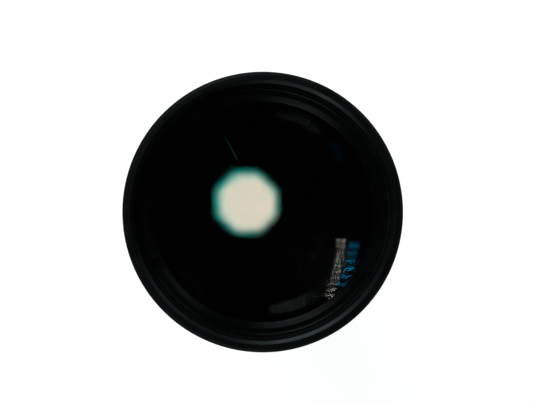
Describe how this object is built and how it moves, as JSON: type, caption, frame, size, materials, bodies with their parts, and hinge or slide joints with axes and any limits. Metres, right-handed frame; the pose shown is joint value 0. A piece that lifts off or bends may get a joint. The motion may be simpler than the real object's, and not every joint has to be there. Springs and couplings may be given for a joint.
{
  "type": "telecentric lens",
  "caption": "Machine-vision telecentric lens: large front glass in a threaded barrel, taper housing, turning aperture ring with iris, camera thread.",
  "frame": {"origin": "centre of the camera flange's seat face, on the optical axis", "axes": "+Z along the optical axis towards the object side; +X and +Y are level, with the aperture ring's scale side at -Y"},
  "size_m": [0.06, 0.06, 0.116],
  "materials": {
    "anodised_black": "satin black anodised aluminium",
    "matte_black": "matte black anodised and blackened",
    "blade_steel": "blackened thin steel",
    "oxide_steel": "black oxide steel screws",
    "bare_steel": "spring steel shim",
    "polymer": "low-friction plastic",
    "coated_glass": "polished, anti-reflection coated"
  },
  "bodies": {
    "lens_body": {"c_mount_ring": "anodised_black", "flange_shim": "bare_steel", "c_mount_grub_screws": "oxide_steel", "rear_barrel": "anodised_black", "rear_lens_cell": "matte_black", "rear_crown_lens": "coated_glass", "rear_spacer": "matte_black", "rear_flint_lens": "coated_glass", "rear_retaining_ring": "matte_black", "iris_housing": "anodised_black", "housing_grub_screws": "oxide_steel", "iris_base_plate": "matte_black", "iris_retaining_ring": "matte_black", "friction_washer": "polymer", "taper_housing": "anodised_black", "taper_grub_screws": "oxide_steel", "rear_baffle": "matte_black", "front_baffle": "matte_black", "front_barrel": "anodised_black", "barrel_grub_screws": "oxide_steel", "front_retaining_ring": "matte_black", "front_crown_lens": "coated_glass", "front_flint_lens": "coated_glass", "front_spacer": "matte_black", "second_front_lens": "coated_glass"},
    "aperture_ring": {"aperture_ring": "anodised_black", "aperture_drive_screw": "oxide_steel", "aperture_lock_screw": "oxide_steel", "iris_cam_ring": "matte_black"},
    "iris_blade_1": {"iris_blade_1": "blade_steel"},
    "iris_blade_2": {"iris_blade_2": "blade_steel"},
    "iris_blade_3": {"iris_blade_3": "blade_steel"},
    "iris_blade_4": {"iris_blade_4": "blade_steel"},
    "iris_blade_5": {"iris_blade_5": "blade_steel"},
    "iris_blade_6": {"iris_blade_6": "blade_steel"},
    "iris_blade_7": {"iris_blade_7": "blade_steel"},
    "iris_blade_8": {"iris_blade_8": "blade_steel"}
  },
  "joints": [
    {"name": "aperture_turn", "type": "hinge", "parent": "lens_body", "child": "aperture_ring", "pos_m": [0, 0, 0.0337], "axis": [0, 0, 1], "range_deg": [-35.29, 2.7]},
    {"name": "blade_1_swing", "type": "hinge", "parent": "lens_body", "child": "iris_blade_1", "pos_m": [0.01252, -0.00265, 0.0305], "axis": [0, 0, 1], "range_deg": [-23.91, 1.85]},
    {"name": "blade_2_swing", "type": "hinge", "parent": "lens_body", "child": "iris_blade_2", "pos_m": [0.01073, 0.00698, 0.0305], "axis": [0, 0, 1], "range_deg": [-23.91, 1.85]},
    {"name": "blade_3_swing", "type": "hinge", "parent": "lens_body", "child": "iris_blade_3", "pos_m": [0.00265, 0.01252, 0.0305], "axis": [0, 0, 1], "range_deg": [-23.91, 1.85]},
    {"name": "blade_4_swing", "type": "hinge", "parent": "lens_body", "child": "iris_blade_4", "pos_m": [-0.00698, 0.01073, 0.0305], "axis": [0, 0, 1], "range_deg": [-23.91, 1.85]},
    {"name": "blade_5_swing", "type": "hinge", "parent": "lens_body", "child": "iris_blade_5", "pos_m": [-0.01252, 0.00265, 0.0305], "axis": [0, 0, 1], "range_deg": [-23.91, 1.85]},
    {"name": "blade_6_swing", "type": "hinge", "parent": "lens_body", "child": "iris_blade_6", "pos_m": [-0.01073, -0.00698, 0.0305], "axis": [0, 0, 1], "range_deg": [-23.91, 1.85]},
    {"name": "blade_7_swing", "type": "hinge", "parent": "lens_body", "child": "iris_blade_7", "pos_m": [-0.00265, -0.01252, 0.0305], "axis": [0, 0, 1], "range_deg": [-23.91, 1.85]},
    {"name": "blade_8_swing", "type": "hinge", "parent": "lens_body", "child": "iris_blade_8", "pos_m": [0.00698, -0.01073, 0.0305], "axis": [0, 0, 1], "range_deg": [-23.91, 1.85]}
  ],
  "couplings": [
    {"joint": "blade_1_swing", "follows": "aperture_turn", "ratio": 0.67711},
    {"joint": "blade_2_swing", "follows": "aperture_turn", "ratio": 0.67711},
    {"joint": "blade_3_swing", "follows": "aperture_turn", "ratio": 0.67711},
    {"joint": "blade_4_swing", "follows": "aperture_turn", "ratio": 0.67711},
    {"joint": "blade_5_swing", "follows": "aperture_turn", "ratio": 0.67711},
    {"joint": "blade_6_swing", "follows": "aperture_turn", "ratio": 0.67711},
    {"joint": "blade_7_swing", "follows": "aperture_turn", "ratio": 0.67711},
    {"joint": "blade_8_swing", "follows": "aperture_turn", "ratio": 0.67711}
  ]
}
